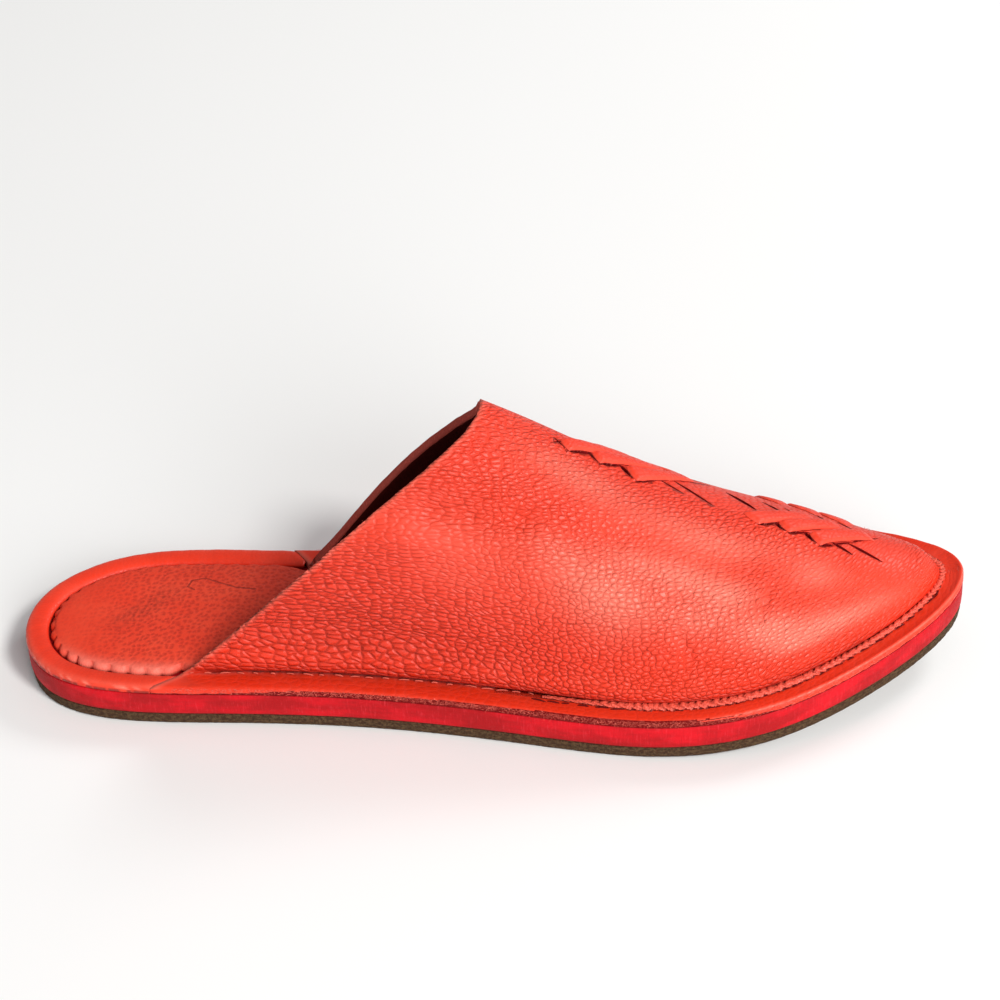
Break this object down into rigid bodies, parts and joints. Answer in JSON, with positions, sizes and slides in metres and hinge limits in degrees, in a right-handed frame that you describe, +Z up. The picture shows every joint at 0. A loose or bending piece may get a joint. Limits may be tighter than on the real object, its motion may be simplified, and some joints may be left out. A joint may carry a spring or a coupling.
{
  "type": "mule",
  "caption": "Right slip-on leather mule with an almond toe, woven vamp strips, an out-turned stitched flange and a thin two-layer flat sole.",
  "frame": {"origin": "centre of the shoe's box in plan, on the floor that the outsole rests on", "axes": "+X towards the toe along the shoe's length, +Y towards the medial (big toe) side, +Z up"},
  "size_m": [0.27, 0.0946, 0.0838],
  "materials": {
    "outsole": "matt, rough cut edge",
    "midsole": "matt microcell rubber, fine upright streaks",
    "insole": "pitted soft leather, worn darker at the heel",
    "heel_rand": "smooth satin leather",
    "upper": "pebbled satin leather"
  },
  "bodies": {
    "root": {"outsole": "outsole", "midsole": "midsole", "insole": "insole", "heel_rand": "heel_rand", "upper": "upper"}
  },
  "joints": []
}
